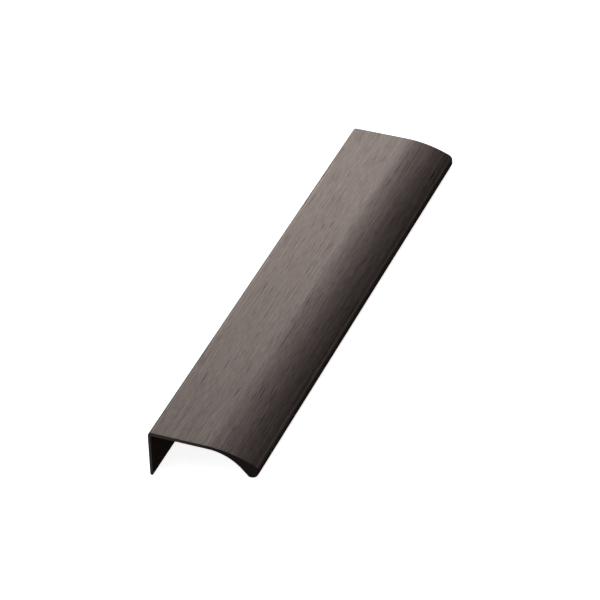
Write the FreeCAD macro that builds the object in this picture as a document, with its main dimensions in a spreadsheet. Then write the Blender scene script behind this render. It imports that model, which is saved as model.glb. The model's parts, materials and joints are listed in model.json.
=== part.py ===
import FreeCAD, Part
import math
import os

import Sketcher

# Handleless finger pull: one length of extruded aluminium that hooks over the top edge of a
# door or drawer front. The flange is screwed to the back of the panel, the flat plate lies on
# the panel's edge, and the curved lip hangs in front with a hollow underneath for the fingers.
# The section is drawn in the profile's own frame: X from the flange's outer face to the lip,
# Y along the length, Z up, with zero at the top of the plate, so the whole piece is below it.
SIZES = {
    "length": 200.0,          # cut length
    "width": 41.3,            # flange's outer face to the front of the lip
    "flange_depth": 19.0,     # top of the plate to the flange's foot
    "flange_wall": 1.2,
    "plate_wall": 1.3,
    "back_radius": 1.5,       # outside, where the plate turns down into the flange
    "inner_radius": 0.3,      # inside the same turn
    "lip_reach": 19.5,        # where the top starts to curve to the front of the lip
    "crown_radius": 44.0,     # top of the curved lip
    "nose_radius": 3.0,       # round at the front of the lip
    "tip_radius": 0.5,        # where the nose turns under into the finger hollow
    "run_cut": 0.5,           # how deep the hollow's straight run cuts into the nose's round
    "hollow_radius": 17.0,
    "hollow_slope": 47.5,     # slope of the straight run that ends the hollow, in degrees
    "corner_radius": 1.2,     # the lip's two corners, seen from above
    "edge_break": 0.2,        # deburred edges of the cut ends
    "hole_inset": 20.0,       # end of the profile to the middle of its nearest screw hole
    "hole_drop": 10.5,        # top of the plate to the middle of the screw holes
    "hole_width": 4.0,
    "sink_width": 5.4,        # mouth of the countersink, in the flange's outer face
    "sink_angle": 90.0,
}

document = FreeCAD.newDocument("FingerPull")
sheet = document.addObject("Spreadsheet::Sheet", "Sizes")
for row, (name, value) in enumerate(SIZES.items(), start=1):
    sheet.set(f"A{row}", name)
    sheet.set(f"B{row}", str(value))
    sheet.setAlias(f"B{row}", name)

body = document.addObject("PartDesign::Body", "PullProfile")
body.Label = "pull_profile"
planes = {plane.Role: plane for plane in body.Origin.OriginFeatures}
document.recompute()

_, START, END, CENTRE = range(4)
AXIS_X, AXIS_Y = range(-1, -3, -1)


def point(x, y):
    return FreeCAD.Vector(x, y, 0)


def add_sketch(name, plane):
    sketch = body.newObject("Sketcher::SketchObject", name)
    sketch.AttachmentSupport = [(planes[plane], "")]
    sketch.MapMode = "FlatFace"
    return sketch


def add_line(sketch, start, end):
    return sketch.addGeometry(Part.LineSegment(start, end))


def circle(centre, radius):
    return Part.Circle(centre, FreeCAD.Vector(0, 0, 1), radius)


def bearing(start, end):
    """Direction from one point to another, in radians."""
    return math.atan2(end.y - start.y, end.x - start.x)


def beyond(start, end, distance):
    """Point on the line from one point through another, at a distance from the first."""
    return start + (end - start).normalize() * distance


def add_arc(sketch, centre, start, end):
    """Arc about a centre, anticlockwise from one point to another."""
    whole = circle(centre, centre.distanceToPoint(start))
    return sketch.addGeometry(Part.ArcOfCircle(whole, bearing(centre, start), bearing(centre, end)))


def relate(sketch, *terms):
    return sketch.addConstraint(Sketcher.Constraint(*terms))


def fix(sketch, formula, *terms):
    """Constrain a size of the sketch and tie it to the sheet."""
    sketch.setExpression(f"Constraints[{relate(sketch, *terms)}]", formula)


# Section of the profile. First the centres of its rounds: the nose touches the inside of the
# crown, the tip touches the inside of the nose and the hollow's straight run, and the hollow
# touches the plate's underside and the same run.
wall, plate = SIZES["flange_wall"], SIZES["plate_wall"]
outside, inside = SIZES["back_radius"], SIZES["inner_radius"]
foot = point(wall / 2, wall / 2 - SIZES["flange_depth"])
crown = point(SIZES["width"] - SIZES["lip_reach"], -SIZES["crown_radius"])

nose_x = SIZES["width"] - SIZES["nose_radius"]
crown_to_nose = SIZES["crown_radius"] - SIZES["nose_radius"]
nose = point(nose_x, crown.y + math.sqrt(crown_to_nose ** 2 - (nose_x - crown.x) ** 2))

slope = math.radians(SIZES["hollow_slope"])
down_run = point(math.cos(slope), -math.sin(slope))
into_lip = point(math.sin(slope), math.cos(slope))
nose_to_run = SIZES["nose_radius"] - SIZES["run_cut"]
nose_to_tip = SIZES["nose_radius"] - SIZES["tip_radius"]
aside = nose_to_run - SIZES["tip_radius"]
tip = nose - into_lip * aside + down_run * math.sqrt(nose_to_tip ** 2 - aside ** 2)

below = nose - into_lip * (nose_to_run + SIZES["hollow_radius"])
hollow_y = -plate - SIZES["hollow_radius"]
hollow = below + down_run * ((hollow_y - below.y) / down_run.y)

# Where one element ends and the next begins.
foot_back, foot_front = point(0, foot.y), point(wall, foot.y)
back_low, back_high = point(0, -outside), point(outside, 0)
crown_top, nose_top = point(crown.x, 0), beyond(crown, nose, SIZES["crown_radius"])
nose_low = beyond(nose, tip, SIZES["nose_radius"])
run_foot = tip - into_lip * SIZES["tip_radius"]
run_top = hollow + into_lip * SIZES["hollow_radius"]
hollow_top = point(hollow.x, -plate)
inner_high, inner_low = point(wall + inside, -plate), point(wall, -plate - inside)

section = add_sketch("Section", "XZ_Plane")
outer_face = add_line(section, foot_back, back_low)
back_bend = add_arc(section, point(outside, -outside), back_high, back_low)
plate_top = add_line(section, back_high, crown_top)
crown_arc = add_arc(section, crown, nose_top, crown_top)
nose_arc = add_arc(section, nose, nose_low, nose_top)
tip_arc = add_arc(section, tip, run_foot, nose_low)
run = add_line(section, run_foot, run_top)
hollow_arc = add_arc(section, hollow, run_top, hollow_top)
plate_under = add_line(section, hollow_top, inner_high)
inner_bend = add_arc(section, point(wall + inside, -plate - inside), inner_high, inner_low)
inner_face = add_line(section, inner_low, foot_front)
foot_arc = add_arc(section, foot, foot_back, foot_front)

# Clockwise round the section, each element runs smoothly into the next. The rounds outside
# are drawn the other way, so they are entered at their end.
outline = (
    (outer_face, START, END), (back_bend, END, START), (plate_top, START, END),
    (crown_arc, END, START), (nose_arc, END, START), (tip_arc, END, START),
    (run, START, END), (hollow_arc, START, END), (plate_under, START, END),
    (inner_bend, START, END), (inner_face, START, END), (foot_arc, END, START),
)
for (element, _, leave), (following, enter, _) in zip(outline, outline[1:] + outline[:1]):
    relate(section, "Tangent", element, leave, following, enter)
relate(section, "Vertical", outer_face)
relate(section, "Vertical", inner_face)
relate(section, "Horizontal", plate_top)
relate(section, "Horizontal", plate_under)
relate(section, "PointOnObject", outer_face, START, AXIS_Y)
relate(section, "PointOnObject", plate_top, START, AXIS_X)

fix(section, "Sizes.back_radius", "Radius", back_bend, outside)
fix(section, "Sizes.inner_radius", "Radius", inner_bend, inside)
fix(section, "Sizes.crown_radius", "Radius", crown_arc, SIZES["crown_radius"])
fix(section, "Sizes.nose_radius", "Radius", nose_arc, SIZES["nose_radius"])
fix(section, "Sizes.tip_radius", "Radius", tip_arc, SIZES["tip_radius"])
fix(section, "Sizes.hollow_radius", "Radius", hollow_arc, SIZES["hollow_radius"])
fix(section, "Sizes.nose_radius - Sizes.run_cut", "Distance", nose_arc, CENTRE, run, nose_to_run)
fix(section, "(180 - Sizes.hollow_slope) * 1 deg", "Angle", run, math.pi - slope)
fix(section, "Sizes.flange_wall", "DistanceX", AXIS_X, START, inner_face, START, wall)
fix(section, "Sizes.plate_wall", "DistanceY", plate_under, START, AXIS_X, START, plate)
fix(section, "Sizes.flange_depth - Sizes.flange_wall / 2",
    "DistanceY", foot_arc, CENTRE, AXIS_X, START, -foot.y)
fix(section, "Sizes.width - Sizes.lip_reach",
    "DistanceX", AXIS_X, START, plate_top, END, crown.x)
fix(section, "Sizes.width - Sizes.nose_radius",
    "DistanceX", AXIS_X, START, nose_arc, CENTRE, nose.x)

extrusion = body.newObject("PartDesign::Pad", "Extrusion")
extrusion.Profile = section
extrusion.SideType = "Symmetric"
extrusion.setExpression("Length", "Sizes.length")
document.recompute()


# The sawn ends are deburred all round.
def end_rims(shape):
    ends = [face for face in shape.Faces if abs(face.normalAt(0, 0).y) > 0.99]
    rims = [edge for face in ends for edge in face.Edges]
    return [f"Edge{number}" for number, edge in enumerate(shape.Edges, start=1)
            if any(edge.isSame(rim) for rim in rims)]


deburred = body.newObject("PartDesign::Chamfer", "DeburredEnds")
deburred.Base = (extrusion, end_rims(extrusion.Shape))
deburred.setExpression("Size", "Sizes.edge_break")
document.recompute()

# The lip's corners are trimmed round in plan. What goes is a square that reaches past the
# corner, less the quarter disc that stays.
corner = add_sketch("CornerOutline", "XY_Plane")
radius = SIZES["corner_radius"]
middle = point(SIZES["width"] - radius, SIZES["length"] / 2 - radius)
square = [middle + point(x * radius, y * radius) for x, y in ((0, 1), (0, 2), (2, 2), (2, 0), (1, 0))]
sides = [add_line(corner, *pair) for pair in zip(square, square[1:])]
rounding = add_arc(corner, middle, square[-1], square[0])
for side, following in zip(sides, sides[1:] + [rounding]):
    relate(corner, "Coincident", side, END, following, START)
relate(corner, "Coincident", rounding, END, sides[0], START)
for side in sides[0::2]:
    relate(corner, "Vertical", side)
for side in sides[1::2]:
    relate(corner, "Horizontal", side)
relate(corner, "Vertical", rounding, CENTRE, rounding, END)
relate(corner, "Horizontal", rounding, CENTRE, rounding, START)
relate(corner, "Equal", sides[0], sides[-1])
fix(corner, "Sizes.corner_radius", "Radius", rounding, radius)
fix(corner, "Sizes.corner_radius", "DistanceY", sides[0], START, sides[0], END, radius)
fix(corner, "Sizes.width - Sizes.corner_radius",
    "DistanceX", AXIS_X, START, rounding, CENTRE, middle.x)
fix(corner, "Sizes.length / 2 - Sizes.corner_radius",
    "DistanceY", AXIS_X, START, rounding, CENTRE, middle.y)

corner_trim = body.newObject("PartDesign::Pocket", "CornerTrim")
corner_trim.Profile = corner
corner_trim.Type = "ThroughAll"
document.recompute()

both_corners = body.newObject("PartDesign::Mirrored", "BothCorners")
both_corners.Originals = [corner_trim]
both_corners.MirrorPlane = (planes["XZ_Plane"], [""])
body.Tip = both_corners
document.recompute()

# Screw holes, countersunk from the flange's outer face, which is the sketch's own plane.
places = add_sketch("HolePlaces", "YZ_Plane")
reach, drop = SIZES["length"] / 2 - SIZES["hole_inset"], SIZES["hole_drop"]
first_hole, last_hole = [
    places.addGeometry(circle(point(side * reach, -drop), SIZES["hole_width"] / 2))
    for side in (-1, 1)
]
for hole in (first_hole, last_hole):
    fix(places, "Sizes.hole_width / 2", "Radius", hole, SIZES["hole_width"] / 2)
    fix(places, "Sizes.hole_drop", "DistanceY", hole, CENTRE, AXIS_X, START, drop)
fix(places, "Sizes.length / 2 - Sizes.hole_inset",
    "DistanceX", first_hole, CENTRE, AXIS_X, START, reach)
fix(places, "Sizes.length / 2 - Sizes.hole_inset",
    "DistanceX", AXIS_X, START, last_hole, CENTRE, reach)
document.recompute()

screw_holes = body.newObject("PartDesign::Hole", "ScrewHoles")
screw_holes.Profile = places
screw_holes.Reversed = True
screw_holes.DrillPoint = "Flat"
screw_holes.HoleCutType = "Countersink"
screw_holes.HoleCutCustomValues = True
screw_holes.setExpression("Depth", "Sizes.flange_wall * 2")
screw_holes.setExpression("Diameter", "Sizes.hole_width")
screw_holes.setExpression("HoleCutDiameter", "Sizes.sink_width")
screw_holes.setExpression("HoleCutCountersinkAngle", "Sizes.sink_angle")
body.Tip = screw_holes
document.recompute()

# Laid down unheld, the profile tips onto the foot of its flange and the nose of its lip. Its
# tilt is the slope of the line that touches both rounds from below. The middle of the space
# that it then takes up, at floor level, is the origin.
foot_round, nose_round = section.Geometry[foot_arc], section.Geometry[nose_arc]
foot_to_nose = nose_round.Center - foot_round.Center
rise = foot_round.Radius - nose_round.Radius
tilt = math.atan2(foot_to_nose.y, foot_to_nose.x) + math.asin(rise / foot_to_nose.Length)
lay_down = FreeCAD.Rotation(FreeCAD.Vector(0, 1, 0), math.degrees(tilt))


def laid(arc):
    return lay_down.multVec(FreeCAD.Vector(arc.Center.x, 0, arc.Center.y))


back = laid(foot_round).x - foot_round.Radius
front = laid(nose_round).x + nose_round.Radius
floor = laid(foot_round).z - foot_round.Radius
body.Placement = FreeCAD.Placement(FreeCAD.Vector(-(back + front) / 2, 0, -floor), lay_down)
document.recompute()
print(f"tilt {math.degrees(tilt):.3f} degrees, volume {body.Shape.Volume:.1f} cubic millimetres")

# Every object has to be sound, every cut has to take material away, and one solid is left.
for thing in document.Objects:
    if {"Invalid", "Error"} & set(thing.State):
        raise RuntimeError(f"{thing.Name} failed")
for sketch in (section, corner, places):
    if not sketch.FullyConstrained:
        raise RuntimeError(f"{sketch.Name} is loose")
steps = (extrusion, deburred, corner_trim, both_corners, screw_holes)
for before, after in zip(steps, steps[1:]):
    if after.Shape.Volume >= before.Shape.Volume:
        raise RuntimeError(f"{after.Name} cuts nothing")
if body.Shape.isNull() or not body.Shape.isValid() or len(body.Shape.Solids) != 1:
    raise RuntimeError("the profile is not one sound solid")

os.makedirs("parts", exist_ok=True)
body.Shape.exportStep(f"parts/{body.Label}.step")
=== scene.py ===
import json
import math

import bmesh
import bpy
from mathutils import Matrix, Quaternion, Vector

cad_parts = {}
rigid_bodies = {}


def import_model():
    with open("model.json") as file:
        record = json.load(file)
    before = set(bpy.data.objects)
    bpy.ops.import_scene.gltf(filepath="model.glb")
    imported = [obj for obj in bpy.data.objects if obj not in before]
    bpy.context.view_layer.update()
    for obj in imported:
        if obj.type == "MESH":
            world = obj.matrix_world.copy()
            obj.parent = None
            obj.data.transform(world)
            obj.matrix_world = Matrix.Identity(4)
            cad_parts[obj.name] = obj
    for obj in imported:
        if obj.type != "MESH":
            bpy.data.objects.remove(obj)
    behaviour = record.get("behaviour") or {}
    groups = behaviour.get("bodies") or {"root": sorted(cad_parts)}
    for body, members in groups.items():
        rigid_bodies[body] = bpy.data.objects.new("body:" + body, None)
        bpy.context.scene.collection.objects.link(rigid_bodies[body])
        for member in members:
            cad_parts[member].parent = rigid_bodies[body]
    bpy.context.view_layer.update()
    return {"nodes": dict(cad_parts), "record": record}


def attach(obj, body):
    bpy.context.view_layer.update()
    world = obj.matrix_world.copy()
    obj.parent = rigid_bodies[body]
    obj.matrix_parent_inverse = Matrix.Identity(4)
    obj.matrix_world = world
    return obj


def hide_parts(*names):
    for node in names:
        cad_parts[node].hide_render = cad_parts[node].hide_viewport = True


for leftover in list(bpy.data.objects):  # Blender's own cube, lamp and camera
    bpy.data.objects.remove(leftover)

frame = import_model()
mm = 0.001

pull = {  # in mm and degrees, from the flange's outer face and the plate's top
    "length": 200.0, "width": 41.3, "flangeDepth": 19.0, "flangeWall": 1.2, "plateWall": 1.3,
    "backRadius": 1.5, "innerRadius": 0.3,
    "lipReach": 19.5, "crownRadius": 44.0,  # curved top of the lip
    "noseRadius": 3.0, "tipRadius": 0.5, "runCut": 0.5,  # its front, and where that turns under
    "hollowRadius": 17.0, "hollowSlope": 47.5,  # finger hollow below
    "cornerRadius": 1.2,  # the lip's corners, seen from above
    "rimRadius": 0.2,  # deburred rims of the sawn ends
    "holeInset": 20.0, "holeDrop": 10.5, "holeWidth": 4.0, "sinkWidth": 5.4, "holeBreak": 0.08,
    "holePatch": 3.5,  # half the square of flange that each hole sits in
    "bendSteps": 10, "plateSteps": 8, "lipSteps": 34, "tipSteps": 5, "noseSteps": 26,
    "rimSteps": 4, "holeSteps": 48, "lengthStep": 5.0,
    "weldGap": 0.001, "edgeAngle": 35,  # nearer points are one point, and sharper bends stay edges
}

# The pull lies tilted, on its flange's foot and its lip's nose. Its own directions come from the
# two faces that seat on the panel: across goes from flange to lip, up out of the plate's top.
mounts = {mount["name"]: mount for mount in frame["record"]["mounts"]}
backSeat, edgeSeat = mounts["panel_back_seat"], mounts["panel_edge_seat"]
across, along, up = Vector(backSeat["axis"]), Vector((0, 1, 0)), -Vector(edgeSeat["axis"])
zero = (across * (across.dot(Vector(backSeat["pos_m"])) - pull["flangeWall"] * mm)
        + up * (up.dot(Vector(edgeSeat["pos_m"])) + pull["plateWall"] * mm))


def spot(u, y, h):  # from the pull's own mm to the frame's metres
    return zero + (across * u + along * y + up * h) * mm


def steps(start, end, count):  # from start to just before end
    return [start + (end - start) * step / count for step in range(count)]


def flat(u, h):
    return Vector((u, h))


def onRound(centre, radius, angle, hollow=False):  # a point of a round and the way it faces
    out = flat(math.cos(math.radians(angle)), math.sin(math.radians(angle)))
    return centre + out * radius, -out if hollow else out


def lipRounds():
    # The nose touches the inside of the crown, the tip the inside of the nose and the hollow's
    # straight run, and the hollow the plate's underside and the same run.
    noseR, tipR = pull["noseRadius"], pull["tipRadius"]
    crown = flat(pull["width"] - pull["lipReach"], -pull["crownRadius"])
    noseU, reach = pull["width"] - noseR, pull["crownRadius"] - noseR
    nose = flat(noseU, crown.y + math.sqrt(reach ** 2 - (noseU - crown.x) ** 2))
    slope = math.radians(pull["hollowSlope"])
    downRun, intoLip = flat(math.cos(slope), -math.sin(slope)), flat(math.sin(slope), math.cos(slope))
    noseToRun = noseR - pull["runCut"]
    aside = noseToRun - tipR
    tip = nose - intoLip * aside + downRun * math.sqrt((noseR - tipR) ** 2 - aside ** 2)
    hollow = nose - intoLip * (noseToRun + pull["hollowRadius"])
    hollow += downRun * ((-pull["plateWall"] - pull["hollowRadius"] - hollow.y) / downRun.y)
    return crown, nose, tip, hollow, downRun, intoLip


def sectionRibs():  # pairs across the wall, outside and inside, from the flange's foot to the nose
    wall, plate, bend = pull["flangeWall"], pull["plateWall"], pull["bendSteps"]
    foot = flat(wall / 2, wall / 2 - pull["flangeDepth"])
    ribs = [(onRound(foot, wall / 2, 180 + turn), onRound(foot, wall / 2, -turn))
            for turn in steps(90, 0, bend)]

    outer, inner = pull["backRadius"], pull["innerRadius"]
    holeLow, holeHigh = [side * pull["holePatch"] - pull["holeDrop"] for side in (-1, 1)]
    heights = [foot.y, (foot.y + holeLow) / 2, holeLow, holeHigh, (holeHigh - outer) / 2]
    ribs += [((flat(0, h), flat(-1, 0)), (flat(wall, h), flat(1, 0))) for h in heights]
    ribs += [(onRound(flat(outer, -outer), outer, angle),
              onRound(flat(wall + inner, -plate - inner), inner, angle, hollow=True))
             for angle in steps(180, 90, bend)]

    crown, nose, tip, hollow, downRun, intoLip = lipRounds()
    crownR, noseR, tipR, hollowR = [pull[name + "Radius"] for name in ("crown", "nose", "tip", "hollow")]
    runTop, runFoot = hollow + intoLip * hollowR, tip - intoLip * tipR
    noseTop = crown + (nose - crown).normalized() * crownR
    noseLow = nose + (tip - nose).normalized() * noseR

    def arch(centre, radius, u, side, hollow=False):  # a round's upper or lower half, at u
        h = side * math.sqrt(max(0, radius ** 2 - (u - centre.x) ** 2))
        return onRound(centre, radius, math.degrees(math.atan2(h, u - centre.x)), hollow)

    def topAt(u):
        if u <= crown.x:
            return flat(u, 0), flat(0, 1)
        return arch(crown, crownR, u, 1) if u <= noseTop.x else arch(nose, noseR, u, 1)

    def underAt(u):
        if u <= hollow.x:
            return flat(u, -plate), flat(0, -1)
        if u <= runTop.x:
            return arch(hollow, hollowR, u, 1, hollow=True)
        if u <= runFoot.x:
            return runTop + downRun * ((u - runTop.x) / downRun.x), -intoLip
        return arch(tip, tipR, u, -1) if u <= noseLow.x else arch(nose, noseR, u, -1)

    turnUnder = math.degrees(math.atan2(tip.y - nose.y, tip.x - nose.x))
    places = steps(outer, crown.x, pull["plateSteps"]) + steps(crown.x, runFoot.x, pull["lipSteps"])
    places += [onRound(tip, tipR, angle)[0].x
               for angle in steps(-90 - pull["hollowSlope"], turnUnder, pull["tipSteps"])]
    places += [onRound(nose, noseR, angle)[0].x for angle in steps(turnUnder, 0, pull["noseSteps"])]
    return ribs + [(topAt(u), underAt(u)) for u in places + [pull["width"]]]


def endWall(u):  # how far along the pull its end stands at u, and which way that wall faces
    radius = pull["cornerRadius"]
    over = max(0, u - (pull["width"] - radius)) / radius
    straight = math.sqrt(1 - over ** 2)
    return pull["length"] / 2 - radius * (1 - straight), Vector((over, straight, 0))


def roundRim(point, facing):  # from the section's surface round to the end's wall
    y, wall = endWall(point.x)
    surface = Vector((facing.x, 0, facing.y))
    angle = surface.angle(wall, 0)
    turned = angle > 0.001  # but at the nose's front the surface is the wall
    centre = Vector((point.x, y, point.y)) - (surface + wall) * pull["rimRadius"] / (1 + surface.dot(wall))
    row = []
    for share in [step / pull["rimSteps"] for step in range(pull["rimSteps"] + 1)]:
        out = surface * math.sin((1 - share) * angle) + wall * math.sin(share * angle)
        row.append(centre + (out / math.sin(angle) if turned else surface) * pull["rimRadius"])
    return row


def lengthStations():  # rings from end to end, with one whole cell for the square of each hole
    reach = pull["length"] / 2
    hole = reach - pull["holeInset"]
    rimRoom = 3 * pull["rimRadius"]  # the last ring stays clear of the rim
    marks = [0, hole - pull["holePatch"], hole + pull["holePatch"], reach - rimRoom]
    half = []
    for start, end in zip(marks, marks[1:]):
        whole = start == marks[1]
        half += steps(start, end, 1 if whole else math.ceil((end - start) / pull["lengthStep"]))
    half.append(marks[-1])
    return [-y for y in reversed(half[1:])] + half


def ringFaces(mesh, first, second):
    for k, vertex in enumerate(first):
        mesh.faces.new((first[k - 1], vertex, second[k], second[k - 1]))


def drillHole(mesh, corners, y):  # corners: the squares left in the outer and the inner face
    wall, edge, count = pull["flangeWall"], pull["holeBreak"], pull["holeSteps"]
    mouth, bore = pull["sinkWidth"] / 2, pull["holeWidth"] / 2
    rings = []
    for radius, depth in ((mouth + edge, 0), (mouth - edge, edge), (bore, mouth - bore),
                          (bore, wall - edge), (bore + edge, wall)):
        turns = [2 * math.pi * k / count - math.pi for k in range(count)]
        rings.append([mesh.verts.new(spot(depth, y + radius * math.cos(turn),
                                          radius * math.sin(turn) - pull["holeDrop"])) for turn in turns])
    for first, second in zip(rings, rings[1:]):
        ringFaces(mesh, first, second)
    for square, ring in zip(corners, (rings[0], rings[-1])):
        quarter = count // 4
        for k in range(count):
            mesh.faces.new((square[k // quarter], ring[k], ring[(k + 1) % count]))
        for side in range(4):
            mesh.faces.new((square[side - 1], square[side], ring[side * quarter]))


def buildPull():
    ribs = sectionRibs()
    outline = [outside for outside, _ in ribs] + [inside for _, inside in reversed(ribs[1:-1])]
    stations = lengthStations()
    mesh = bmesh.new()
    lines = []  # one along the pull for each point of the outline
    for point, facing in outline:
        row = roundRim(point, facing)
        share = row[0].y / (pull["length"] / 2 - pull["rimRadius"])
        places = [Vector((p.x, -p.y, p.z)) for p in reversed(row)]
        places += [Vector((point.x, y * share, point.y)) for y in stations] + row
        lines.append([mesh.verts.new(spot(*p)) for p in places])

    holeY = pull["length"] / 2 - pull["holeInset"]
    before = pull["rimSteps"] + 1
    cells = {side * holeY: before + stations.index(side * holeY - pull["holePatch"]) for side in (-1, 1)}
    low = pull["bendSteps"] + 2  # the rib just under the holes
    pairs = {low: (low, low + 1), len(lines) - low - 1: (-low, -low - 1)}
    for k in range(len(lines)):
        first, second = lines[k - 1], lines[k]
        for j in range(len(first) - 1):
            if not (k - 1 in pairs and j in cells.values()):
                mesh.faces.new((first[j], first[j + 1], second[j + 1], second[j]))
    for y, j in cells.items():
        squares = [[lines[a][j], lines[a][j + 1], lines[b][j + 1], lines[b][j]] for a, b in pairs.values()]
        drillHole(mesh, squares, y)

    last = len(ribs) - 1
    for end in (0, -1):  # strips across the wall close each end
        for k in range(last):
            strip = [lines[k][end], lines[k + 1][end], lines[-k - 1][end], lines[-k][end]]
            if k == last - 1:
                strip.pop(2)
            if k == 0:
                strip.pop()
            mesh.faces.new(strip)

    bmesh.ops.remove_doubles(mesh, verts=mesh.verts, dist=pull["weldGap"] * mm)
    bmesh.ops.recalc_face_normals(mesh, faces=mesh.faces)
    data = bpy.data.meshes.new("brushedPull")
    mesh.to_mesh(data)
    mesh.free()
    data.shade_smooth()
    data.set_sharp_from_angle(angle=math.radians(pull["edgeAngle"]))
    piece = bpy.data.objects.new("brushedPull", data)
    bpy.context.scene.collection.objects.link(piece)
    weighted = piece.modifiers.new("evenShading", "WEIGHTED_NORMAL")
    weighted.keep_sharp = True
    return piece


piece = buildPull()
print("pull built,", len(piece.data.vertices), "vertices,", len(piece.data.polygons), "faces")


class Wire:  # a socket of a material, so that a pattern is written as a sum
    def __init__(self, tree, socket=None):
        self.tree, self.socket = tree, socket

    def node(self, kind, settings, inputs, output=0):  # settings first, as they change the sockets
        made = self.tree.nodes.new(kind)
        for name, value in settings.items():
            setattr(made, name, value)
        for name, value in inputs.items():
            if isinstance(value, Wire):
                self.tree.links.new(value.socket, made.inputs[name])
            else:
                made.inputs[name].default_value = value
        return Wire(self.tree, made.outputs[output] if made.outputs else None)

    def math(self, operation, first, second):
        return self.node("ShaderNodeMath", {"operation": operation}, {0: first, 1: second})

    def __add__(self, other):
        return self.math("ADD", self, other)

    def __sub__(self, other):
        return self.math("SUBTRACT", self, other)

    def __rsub__(self, other):
        return self.math("SUBTRACT", other, self)

    def __mul__(self, other):
        return self.math("MULTIPLY", self, other)

    __radd__, __rmul__ = __add__, __mul__

    def __abs__(self):
        return self.math("ABSOLUTE", self, 0)

    def rise(self, low, high):  # 0 up to low, 1 from high on, and smooth between
        return self.node("ShaderNodeMapRange", {"interpolation_type": "SMOOTHSTEP"},
                         {"Value": self, "From Min": low, "From Max": high})

    def along(self, direction):  # how far this direction runs along another
        return self.node("ShaderNodeVectorMath", {"operation": "DOT_PRODUCT"}, {0: self, 1: direction}, 1)

    def part(self, axis):
        return self.node("ShaderNodeSeparateXYZ", {}, {0: self}, axis)

    def blend(self, first, second):  # of two colours, by this share of the second
        return self.node("ShaderNodeMix", {"data_type": "RGBA"}, {0: self, 6: first, 7: second}, 2)

    def streaks(self, size, detail=2.0):  # noise at this place, stretched to a size in mm
        scaled = self.node("ShaderNodeVectorMath", {"operation": "DIVIDE"}, {0: self, 1: size})
        return self.node("ShaderNodeTexNoise", {}, {"Vector": scaled, "Scale": 1.0, "Detail": detail})


finish = {  # linear colours, and sizes of the marks in mm: across, along, up
    # the brushed plate and crown, with long and short hairlines, broad bands and dark dashes
    "ridge": (0.260, 0.228, 0.208, 1), "lipRidge": (0.284, 0.225, 0.208, 1),
    "groove": (0.120, 0.100, 0.094, 1), "scratch": (0.045, 0.036, 0.034, 1),
    "longHair": (0.14, 36.0, 0.14), "shortHair": (0.14, 4.5, 0.14), "longShare": 0.55,
    "band": (0.9, 45.0, 0.9), "bandShare": 0.15,
    "dash": (0.31, 15.0, 0.31), "dashShare": 0.75,
    # the faces not brushed, with the lines that the die left; their colour is darkened as painted shade,
    # most of all where the nose turns down
    "plainShaded": (0.031, 0.025, 0.023, 1), "dieLine": (0.018, 0.0147, 0.0135, 1),
    # the sawn ends, with painted shade darkening them towards the lip, and their rims, painted as a dark
    # line of shade that is lighter in patches
    "sawnBack": (0.027, 0.0218, 0.0198, 1), "sawnLipShaded": (0.0092, 0.0075, 0.0069, 1),
    "saw": (2.5, 1.0, 0.10),
    # the rims are a dark line of painted shade, lighter in patches
    "rim": (0.006, 0.005, 0.0045, 1), "rimWorn": (0.022, 0.018, 0.016, 1),
    # where each pattern starts and where it is full, and the span of the painted shade on the sawn ends in
    # mm from the flange
    "hairLimits": (0.32, 0.68), "dashLimits": (0.65, 0.72), "dieLimits": (0.38, 0.62),
    "rimLightLimits": (0.50, 0.72), "paintedEndShade": (5, 32),
    # how squarely a face looks along the pull, or up out of its plate
    "sawnFacing": (0.94, 0.99), "rimFacing": (0.10, 0.40),
    "brushedNotShadedFacing": (0.50, 0.90), "plateFacing": (0.975, 0.999),
    # depth of the marks in mm, and how much of it each kind takes
    "relief": 0.03, "hairRelief": 0.7, "bandRelief": 0.3, "dashRelief": 0.3,
    # rougher on the ridges and on the sawn ends, and dim where it is seen at a grazing angle
    "roughness": 0.31, "hairRoughness": 0.12, "sawnRoughness": 0.20,
    "grazing": (0.22, 0.22, 0.22, 1),
}


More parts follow.
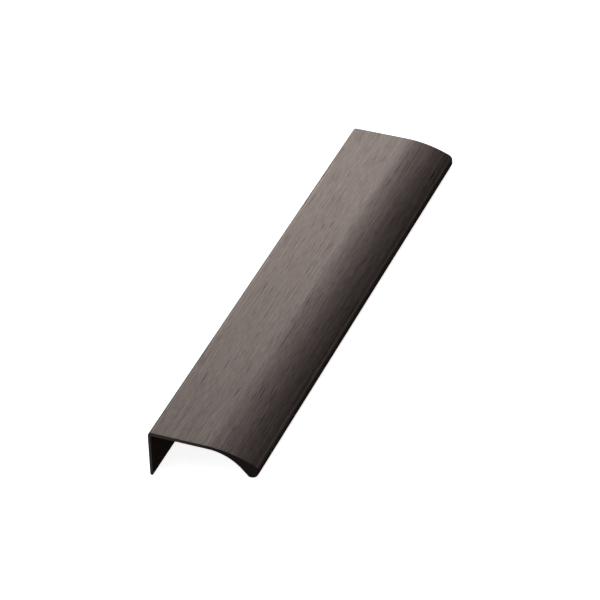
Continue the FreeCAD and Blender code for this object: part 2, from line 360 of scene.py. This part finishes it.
def bronzeFinish():
    material = bpy.data.materials.new("brushedBronze")
    material.use_nodes = True
    tree = material.node_tree
    tree.nodes.clear()
    start = Wire(tree)
    # the mapping turns the frame's metres into the pull's own mm
    turn = math.atan2(across.z, across.x)
    offset = [-direction.dot(zero) / mm for direction in (across, along, up)]
    scale = (1 / mm, 1 / mm, 1 / mm)
    framePlace = start.node("ShaderNodeTexCoord", {}, {}, "Object")
    place = start.node("ShaderNodeMapping", {"vector_type": "POINT"}, {
        "Vector": framePlace, "Location": offset, "Rotation": (0, turn, 0), "Scale": scale})
    facing = start.node("ShaderNodeTexCoord", {}, {}, "Normal")

    endOn, upward = abs(facing.part(1)), facing.along(up)
    sawn, rim = endOn.rise(*finish["sawnFacing"]), endOn.rise(*finish["rimFacing"])
    # brushed colour where a face turns up; elsewhere the plain colour, darkened as painted shade on the
    # turned-down nose and the faces not brushed
    brushedNotShaded = upward.rise(*finish["brushedNotShadedFacing"])  # the plate and the crown, but not the nose
    onPlate = upward.rise(*finish["plateFacing"])
    longHair, shortHair = [place.streaks(finish[kind], 1.0) for kind in ("longHair", "shortHair")]
    hair = longHair * finish["longShare"] + shortHair * (1 - finish["longShare"])
    band = place.streaks(finish["band"])
    dash = place.streaks(finish["dash"], 1.0).rise(*finish["dashLimits"])
    saw = place.streaks(finish["saw"])

    ridge = onPlate.blend(finish["lipRidge"], finish["ridge"])
    # tone is 1 on a ridge and 0 in a groove
    tone = hair.rise(*finish["hairLimits"]) * (1 - finish["bandShare"]) + band * finish["bandShare"]
    brushedColour = (1 - tone).blend(ridge, finish["groove"])
    brushedColour = (dash * finish["dashShare"]).blend(brushedColour, finish["scratch"])
    # the plain colour carries painted shade, so the nose and the unbrushed faces stay dark
    plainShadedColour = hair.rise(*finish["dieLimits"]).blend(finish["plainShaded"], finish["dieLine"])
    # painted shade: the sawn ends darken from the flange towards the lip
    paintedEndShade = place.part(0).rise(*finish["paintedEndShade"])
    sawnShadedColour = paintedEndShade.blend(finish["sawnBack"], finish["sawnLipShaded"])
    # painted shade: the rounded rims get a near-black line, lighter in random patches
    rimColour = band.rise(*finish["rimLightLimits"]).blend(finish["rim"], finish["rimWorn"])
    colour = rim.blend(brushedNotShaded.blend(plainShadedColour, brushedColour), sawn.blend(rimColour, sawnShadedColour))

    brushMarks = hair * finish["hairRelief"] + band * finish["bandRelief"] - dash * finish["dashRelief"]
    grooves = brushMarks * (1 - sawn) + saw * sawn
    roughness = hair * finish["hairRoughness"] + finish["roughness"] + sawn * finish["sawnRoughness"]
    normal = start.node("ShaderNodeBump", {},
                        {"Strength": 1.0, "Distance": finish["relief"] * mm, "Height": grooves})
    shader = start.node("ShaderNodeBsdfPrincipled", {}, {
        "Base Color": colour, "Metallic": 1.0, "Roughness": roughness, "Normal": normal,
        "Specular Tint": finish["grazing"]})
    start.node("ShaderNodeOutputMaterial", {}, {"Surface": shader})
    return material


finishMaterial = bronzeFinish()
piece.data.materials.append(finishMaterial)
profile = frame["nodes"]["pull_profile"]
profile.material_slots[0].material = finishMaterial
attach(piece, "root")
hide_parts("pull_profile")
print("bronze finish made")

studio = {  # in metres and watts
    "floorSize": 12.0, "floorColour": (0.90, 0.90, 0.90, 1), "floorGlow": 0.90,  # lit like a light table
    "floorRoughness": 0.9, "floorShine": 0.1,
    "worldColour": (1, 1, 1, 1), "worldStrength": 0.025,
    "lights": {  # name: place, width, height, power
        "backSoftbox": ((-0.45, 1.05, 0.60), 0.64, 0.6, 5.1),
        "backStrip": ((0.12, 1.05, 0.70), 0.2, 0.7, 0.35),
        "overhead": ((0.2, -0.3, 2.2), 2.0, 2.0, 20.0),
        "frontFill": ((0.6, -2.0, 0.3), 1.6, 0.6, 30.0),
        "leftFill": ((-1.7, -0.4, 0.35), 3.2, 0.6, 18.0),
        "rightFill": ((1.9, -0.8, 0.36), 2.6, 0.6, 9.0),
        "lowBack": ((-0.8, 2.4, 0.30), 1.8, 0.45, 3.5),
    },
}


def buildFloor():
    mesh = bmesh.new()
    bmesh.ops.create_grid(mesh, x_segments=1, y_segments=1, size=studio["floorSize"] / 2)
    data = bpy.data.meshes.new("floor")
    mesh.to_mesh(data)
    mesh.free()
    floor = bpy.data.objects.new("floor", data)
    bpy.context.scene.collection.objects.link(floor)
    pale = bpy.data.materials.new("paleFloor")
    pale.use_nodes = True
    shader = pale.node_tree.nodes["Principled BSDF"]
    shader.inputs["Base Color"].default_value = studio["floorColour"]
    shader.inputs["Roughness"].default_value = studio["floorRoughness"]
    shader.inputs["Specular IOR Level"].default_value = studio["floorShine"]
    shader.inputs["Emission Color"].default_value = studio["floorColour"]
    shader.inputs["Emission Strength"].default_value = studio["floorGlow"]
    data.materials.append(pale)


def softLight(name, place, width, height, power):
    data = bpy.data.lights.new(name, "AREA")
    data.shape, data.size, data.size_y, data.energy = "RECTANGLE", width, height, power
    light = bpy.data.objects.new(name, data)
    light.location = place
    light.rotation_euler = (-Vector(place)).to_track_quat("-Z", "Y").to_euler()
    bpy.context.scene.collection.objects.link(light)


buildFloor()
for name, values in studio["lights"].items():
    softLight(name, *values)
world = bpy.data.worlds.new("studioWorld")
world.use_nodes = True
world.node_tree.nodes["Background"].inputs["Color"].default_value = studio["worldColour"]
world.node_tree.nodes["Background"].inputs["Strength"].default_value = studio["worldStrength"]
bpy.context.scene.world = world
bpy.context.scene.view_settings.view_transform = "Standard"
print("floor and lights placed")

view = {  # in mm and degrees
    "place": (542.5, -904.6, 624.6), "aim": (-1.5, -2.2, 7.1), "roll": -16.94, "lens": 199.87,
}
lens = bpy.data.cameras.new("photoView")
lens.lens = view["lens"]
camera = bpy.data.objects.new("photoView", lens)
camera.location = Vector(view["place"]) * mm
looking = (Vector(view["aim"]) - Vector(view["place"])).to_track_quat("-Z", "Y")
camera.rotation_mode = "QUATERNION"
camera.rotation_quaternion = looking @ Quaternion((0, 0, 1), math.radians(view["roll"]))
bpy.context.scene.collection.objects.link(camera)
bpy.context.scene.camera = camera
print("camera set")
